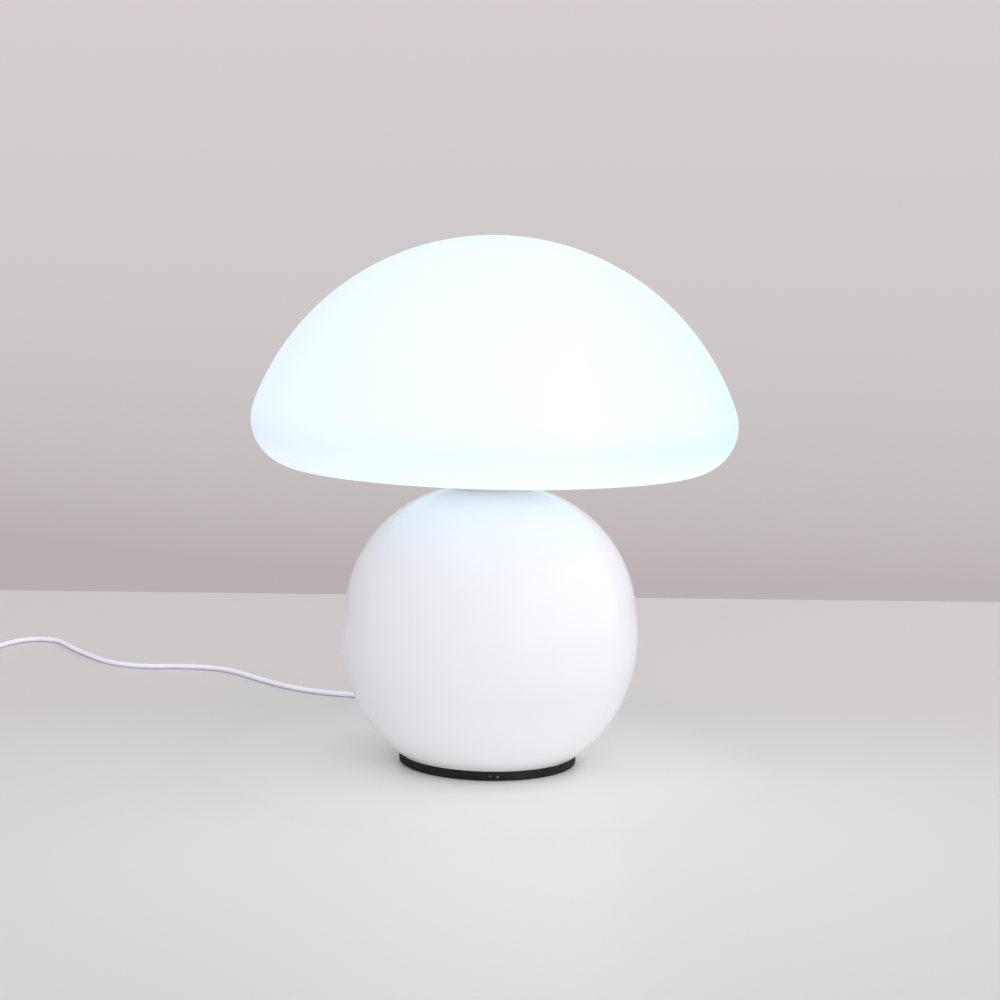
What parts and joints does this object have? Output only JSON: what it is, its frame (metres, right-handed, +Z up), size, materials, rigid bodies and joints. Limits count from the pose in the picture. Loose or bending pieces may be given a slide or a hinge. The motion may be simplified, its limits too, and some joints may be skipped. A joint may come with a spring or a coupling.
{
  "type": "mushroom table lamp",
  "caption": "Table lamp with a domed opal glass shade that lifts off a white globe base, on a thin round foot, with a cord, in-line switch and plug.",
  "frame": {"origin": "centre of the foot's underside, on the table", "axes": "+Z up along the lamp's axis; +X to the right as seen from the front, which is -Y; the cord leaves at the back, towards +Y, and runs to the left"},
  "size_m": [0.4808, 0.435, 0.2736],
  "materials": {
    "opal_glass": "opal white, satin inside, glossy outside, lit from within",
    "white_glaze": "glossy white glaze",
    "black_foot": "matte black with fine pale specks",
    "white_lacquer": "white enamel on sheet steel",
    "milky_dish": "milky plastic, lit from above by the bulb",
    "zinc_steel": "bright zinc plating",
    "cast_weight": "grey cast iron",
    "threaded_brass": "plain drawn brass",
    "clear_silicone": "translucent silicone",
    "white_rubber": "soft white",
    "white_phenolic": "moulded white",
    "steatite": "unglazed, fine",
    "bulb_aluminium": "rolled thread, satin",
    "solder": "dull solder",
    "black_insulator": "vitrite black",
    "bulb_white": "heat-spreading white plastic",
    "bulb_opal": "opal diffuser, lit",
    "board_white": "white solder mask on an aluminium board",
    "board_green": "green solder mask",
    "chip_phosphor": "yellow phosphor",
    "lead_jacket": "smooth pale lavender-white jacket",
    "wire_brown": "brown insulation",
    "wire_blue": "blue insulation",
    "fitting_plastic": "smooth white moulding",
    "plated_pin": "nickel plated",
    "sleeve_black": "black insulating sleeve"
  },
  "bodies": {
    "base": {"foot_pad": "black_foot", "bottom_plate": "zinc_steel", "counterweight": "cast_weight", "base_globe": "white_glaze", "centre_tube": "threaded_brass", "bottom_washer": "zinc_steel", "bottom_nut": "zinc_steel", "weight_nut": "zinc_steel", "neck_gasket": "white_rubber", "neck_collar": "white_lacquer", "fitter_dish": "milky_dish", "top_washer": "zinc_steel", "top_nut": "zinc_steel", "seat_ring": "clear_silicone", "holder_cap": "white_phenolic", "holder_core": "steatite", "holder_skirt": "white_phenolic", "screw_liner": "threaded_brass", "centre_contact": "threaded_brass", "side_contact": "threaded_brass", "terminal_screws": "zinc_steel", "strain_relief": "fitting_plastic", "cord_grip": "fitting_plastic", "inner_lead": "lead_jacket", "live_wire": "wire_brown", "neutral_wire": "wire_blue", "switch_lower": "fitting_plastic", "switch_upper": "fitting_plastic", "switch_contacts": "threaded_brass", "switch_screws": "zinc_steel", "plug_body": "fitting_plastic", "plug_pins": "plated_pin", "plug_sleeves": "sleeve_black", "coil_tie": "sleeve_black", "cord_coil": "lead_jacket", "cord_run": "lead_jacket", "cord_link": "lead_jacket", "cord_tail": "lead_jacket"},
    "shade": {"shade_dome": "opal_glass", "shade_underside": "opal_glass"},
    "bulb": {"bulb_tip": "solder", "bulb_insulator": "black_insulator", "bulb_cap": "bulb_aluminium", "bulb_housing": "bulb_white", "bulb_diffuser": "bulb_opal", "led_board": "board_white", "led_chips": "chip_phosphor", "driver_board": "board_green"},
    "rocker": {"switch_rocker": "fitting_plastic"}
  },
  "joints": [
    {"name": "shade_lift", "type": "slide", "parent": "base", "child": "shade", "axis": [0, 0, 1], "range_m": [0, 0.112]},
    {"name": "bulb_turn", "type": "hinge", "parent": "base", "child": "bulb", "pos_m": [0, 0, 0.1932], "axis": [0, 0, 1], "range_deg": [0, 1260]},
    {"name": "switch_rocker", "type": "hinge", "parent": "base", "child": "rocker", "pos_m": [-0.3386, 0.193, 0.012], "axis": [-0.9848, 0.1736, 0], "range_deg": [0, 14]}
  ]
}
